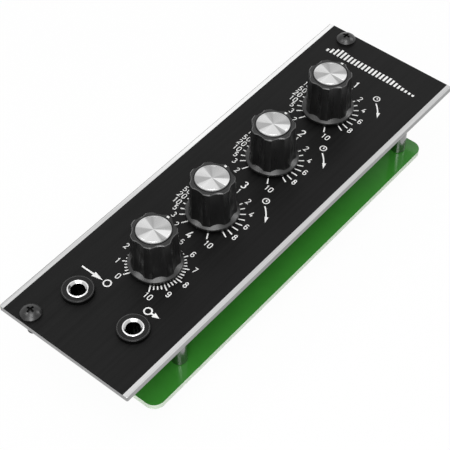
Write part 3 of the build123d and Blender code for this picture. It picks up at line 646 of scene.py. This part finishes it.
def print_piece(name, bands, heads, finishes):
    """One piece of white print from bands of points with their widths, and arrow heads."""
    mesh = bmesh.new()
    for place, (points, width) in enumerate(bands):
        add_band(mesh, points, width, print_level(place))
    for place, (tip, angle, length, width) in enumerate(heads):
        add_head(mesh, tip, angle, length, width, print_level(len(bands) + place))
    for face in mesh.faces:
        face.normal_update()
        if face.normal.z < 0:
            face.normal_flip()
    finish_piece(name, mesh, finishes["mark_white"])


# Labels of the time dials: direction, text, and how far out its middle is
time_labels = [(240, "2", 9.5), (220, "3", 9.5), (206, "5", 9.45), (193, "10", 9.95), (180, "20", 9.9),
               (168, "50", 10.1), (155, "100", 10.4), (143, "200", 10.9), (117, "500", 11.0), (90, "1", 9.9),
               (64.5, "2", 9.75), (38.7, "4", 9.6), (12.4, "6", 9.3), (-14.5, "8", 9.3), (-56.5, "10", 9.8)]
time_ticks = (240, 220, 206, 193, 180, 168, 155, 142, 117, 90,
              64.5, 52.3, 38.7, 25.1, 12.4, -0.8, -14.5, -26.8, -60)


def time_dial_bands(centre):
    """Ticks and labels of a dial in seconds, whose steps widen as it rises."""
    bands = []
    for angle in time_ticks:
        bands.append(([polar(centre, tick_inner, angle), polar(centre, tick_outer, angle)], tick_width))
    for angle, text, radius in time_labels:
        bands += [(line, digit_stroke) for line in number_strokes(text, polar(centre, radius, angle))]
    return bands


def level_dial_bands(centre):
    """Ticks and labels of the dial with even steps from 0 to 10."""
    bands = []
    last = (level_numbers - 1) * minor_steps
    for step in range(last + 1):
        angle = level_start - level_turn * step / last
        outer = tick_outer if step % minor_steps == 0 else minor_outer
        bands.append(([polar(centre, tick_inner, angle), polar(centre, outer, angle)], tick_width))
    for number in range(level_numbers):
        angle = level_start - level_turn * number / (level_numbers - 1)
        place = polar(centre, level_label_radius, angle)
        bands += [(line, digit_stroke) for line in number_strokes(str(number), place)]
    return bands


def turn_arrow(centre):
    """A curved arrow beside a dial that points the way it rises."""
    line = arc(centre, (arrow_radius, arrow_radius), arrow_start, arrow_end, 10)
    tip = arrow_end - arrow_head
    return [(line, arrow_line)], [(polar(centre, arrow_radius, tip), tip - 90, *arrow_head_size)]


def clock_bands(middle):
    """A small clock face that stands for the time in seconds."""
    hands = [(middle[0], middle[1] + clock_hands[0]), middle, (middle[0] + clock_hands[1], middle[1])]
    return [(arc(middle, (clock_radius, clock_radius), 0, 360, 24), clock_line), (hands, hand_line)]


def print_dials(finishes):
    """Three dials in seconds and one level dial, each with its knob's number."""
    for place, knob in enumerate(knob_places):
        centre = (knob.x / mm, knob.y / mm)
        if place < 3:
            bands = time_dial_bands(centre)
            arrow, heads = turn_arrow(centre)
            bands += arrow + clock_bands((centre[0] + clock_place[0], centre[1] + clock_place[1]))
        else:
            bands, heads = level_dial_bands(centre), []
        label = (centre[0], centre[1] + name_rises[place])
        strokes = number_strokes(str(place + 1), label, name_height, name_stroke)
        bands += [(line, name_stroke) for line in strokes]
        print_piece(f"dial_print_{place + 1}", bands, heads, finishes)


def print_title(finishes):
    """A row of bars whose heights rise, fall to a level, hold and die away."""
    bars = []
    for place, share in enumerate(title_shares):
        x = (place - (len(title_shares) - 1) / 2) * title_pitch
        top = title_low + share * (title_high - title_low)
        bars.append(([(x, title_low), (x, top)], title_line))
    print_piece("title_print", bars, [], finishes)


def print_jacks(finishes):
    """An arrow into the left jack and one out of the right jack."""
    bands = [
        ([(in_arrow[0], mark_level), (in_arrow[1], mark_level)], mark_arrow_line),
        (arc((in_ring, mark_level), (mark_ring, mark_ring), 0, 360, 24), mark_ring_line),
        (arc((out_ring, mark_level), (mark_ring, mark_ring), 0, 360, 24), mark_ring_line),
        ([(out_arrow[0], mark_level), (out_arrow[1], mark_level)], mark_arrow_line),
    ]
    heads = [((in_arrow[2], mark_level), 0, *in_head_size), ((out_arrow[2], mark_level), 0, *out_head_size)]
    print_piece("jack_print", bands, heads, finishes)


def seen_rays(tree):
    """1 for rays from the camera, and for those that a glossy or clear surface sends on."""
    path = tree.nodes.new("ShaderNodeLightPath")
    seen = path.outputs["Is Camera Ray"]
    for name in ("Is Glossy Ray", "Is Transmission Ray"):
        either = tree.nodes.new("ShaderNodeMath")
        either.operation = "MAXIMUM"
        tree.links.new(seen, either.inputs[0])
        tree.links.new(path.outputs[name], either.inputs[1])
        seen = either.outputs[0]
    return seen


def add_floor():
    """A pale floor that looks plain white to the camera and keeps the module's shadow."""
    mesh = bmesh.new()
    corners = [(x * floor_half, y * floor_half) for x, y in ((-1, -1), (1, -1), (1, 1), (-1, 1))]
    mesh.faces.new([mesh.verts.new((x, y, cad_box[0].z)) for x, y in corners])
    data = bpy.data.meshes.new("floor")
    mesh.to_mesh(data)
    mesh.free()
    floor = bpy.data.objects.new("floor", data)
    scene.collection.objects.link(floor)
    finish = Finish("floor")
    finish.set(Base_Color=white(0.9), Roughness=0.25, Specular_IOR_Level=0.5)
    seen = seen_rays(finish.tree)
    glow = finish.tree.nodes.new("ShaderNodeEmission")
    glow.inputs["Color"].default_value = white(1.0)
    glow.inputs["Strength"].default_value = 1.0
    blend = finish.tree.nodes.new("ShaderNodeMixShader")
    finish.fill(blend.inputs[0], finish.math("MULTIPLY", seen, floor_glow))
    finish.fill(blend.inputs[1], finish.shader.outputs[0])
    finish.fill(blend.inputs[2], glow.outputs[0])
    finish.fill(finish.tree.nodes["Material Output"].inputs[0], blend.outputs[0])
    data.materials.append(finish.material)


def light_world():
    """A dim even light on the module, in surroundings that look white."""
    world = bpy.data.worlds.new("studio")
    scene.world = world
    world.use_nodes = True
    tree = world.node_tree
    tree.nodes.clear()
    blend = tree.nodes.new("ShaderNodeMixShader")
    tree.links.new(seen_rays(tree), blend.inputs[0])
    for place, strength in ((1, world_light), (2, world_look)):
        background = tree.nodes.new("ShaderNodeBackground")
        background.inputs["Color"].default_value = white(1.0)
        background.inputs["Strength"].default_value = strength
        tree.links.new(background.outputs[0], blend.inputs[place])
    output = tree.nodes.new("ShaderNodeOutputWorld")
    tree.links.new(blend.outputs[0], output.inputs[0])


def add_lamp(name, azimuth, elevation, distance, size, power):
    """A square soft lamp that looks at the module's middle from the given direction."""
    aim = Vector((0.0, 0.0, panel_high.z))
    level = Matrix.Rotation(radians(azimuth), 3, "Z") @ Vector((1.0, 0.0, 0.0))
    away = level * cos(radians(elevation)) + Vector((0.0, 0.0, sin(radians(elevation))))
    lamp = bpy.data.lights.new(name, "AREA")
    lamp.size = size
    lamp.energy = power
    holder = bpy.data.objects.new(name, lamp)
    holder.location = aim + away * distance
    holder.rotation_euler = away.to_track_quat("Z", "Y").to_euler()
    scene.collection.objects.link(holder)


def add_camera():
    """The camera, which looks down on the module from its lower right."""
    data = bpy.data.cameras.new("camera")
    data.lens = camera_lens
    data.sensor_width = camera_sensor
    data.clip_start = camera_near
    camera = bpy.data.objects.new("camera", data)
    turn = Matrix.Rotation(radians(camera_turn), 4, "Z") @ Matrix.Rotation(radians(90.0 - camera_dip), 4, "X")
    turn = turn @ Matrix.Rotation(radians(camera_roll), 4, "Z")
    camera.matrix_world = Matrix.Translation(camera_place) @ turn
    scene.collection.objects.link(camera)
    scene.camera = camera


scene.view_settings.view_transform = "Standard"
finishes = make_finishes()
dress_nodes(finishes)
print_dials(finishes)
print_title(finishes)
print_jacks(finishes)
add_floor()
light_world()
for lamp in lamps:
    add_lamp(*lamp)
add_camera()
